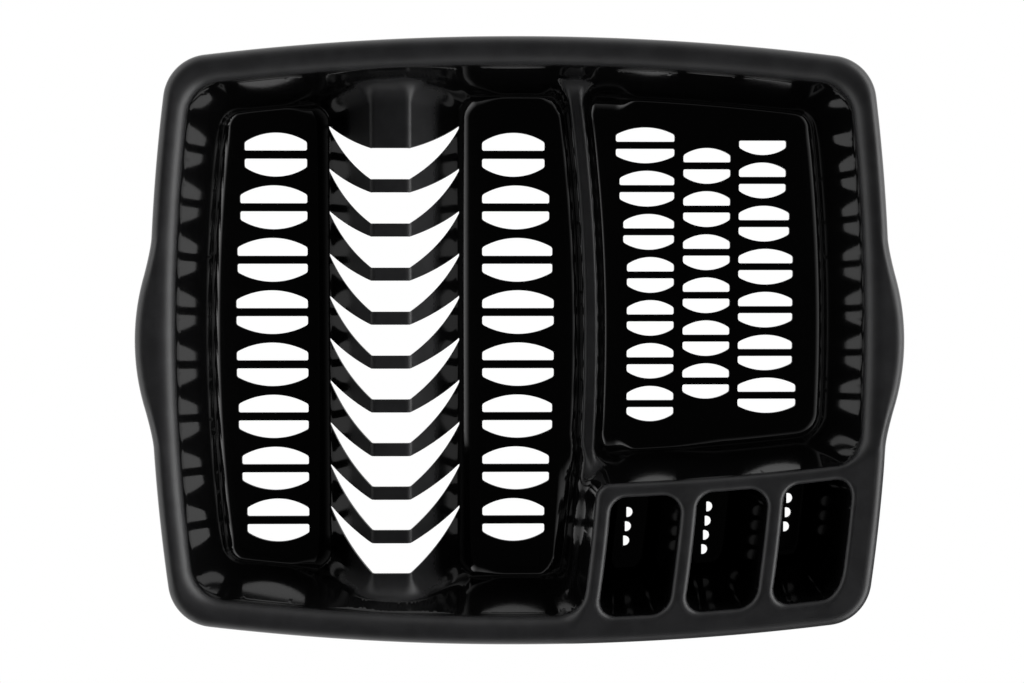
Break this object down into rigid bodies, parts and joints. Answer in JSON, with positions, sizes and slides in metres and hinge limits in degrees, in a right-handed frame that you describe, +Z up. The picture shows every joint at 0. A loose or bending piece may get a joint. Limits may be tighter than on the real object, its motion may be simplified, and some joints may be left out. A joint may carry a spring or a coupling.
{
  "type": "dish drying rack",
  "caption": "Bowed black plastic dish drainer tub with an arched plate hump, slotted floors, a divided side basin, cutlery cups and side grips.",
  "frame": {"origin": "on the table, under the middle of the rim", "axes": "+X toward the side with the cutlery cups, +Y to the back, +Z up"},
  "size_m": [0.4834, 0.3826, 0.098],
  "materials": {
    "black_plastic": "glossy moulded polypropylene, satin on the rim"
  },
  "bodies": {
    "root": {"rim_back": "black_plastic", "rim_front": "black_plastic", "rim_left_back": "black_plastic", "rim_left_front": "black_plastic", "rim_right_back": "black_plastic", "rim_right_front": "black_plastic", "grip_left": "black_plastic", "grip_right": "black_plastic", "wall_back": "black_plastic", "wall_front": "black_plastic", "wall_left": "black_plastic", "wall_right": "black_plastic", "plate_floor_left_back": "black_plastic", "plate_floor_left_middle": "black_plastic", "plate_floor_left_front": "black_plastic", "plate_floor_right_back": "black_plastic", "plate_floor_right_middle": "black_plastic", "plate_floor_right_front": "black_plastic", "side_floor_left": "black_plastic", "side_floor_middle": "black_plastic", "side_floor_right": "black_plastic", "hump_back_end": "black_plastic", "plate_rib_1": "black_plastic", "plate_rib_2": "black_plastic", "plate_rib_3": "black_plastic", "plate_rib_4": "black_plastic", "plate_rib_5": "black_plastic", "plate_rib_6": "black_plastic", "plate_rib_7": "black_plastic", "plate_rib_8": "black_plastic", "plate_rib_9": "black_plastic", "hump_front_end": "black_plastic", "divider": "black_plastic", "cutlery_deck": "black_plastic", "cutlery_surround": "black_plastic", "cup_left": "black_plastic", "cup_middle": "black_plastic", "cup_right": "black_plastic", "foot_back_left": "black_plastic", "foot_back_right": "black_plastic", "foot_front_left": "black_plastic", "foot_front_right": "black_plastic"}
  },
  "joints": []
}
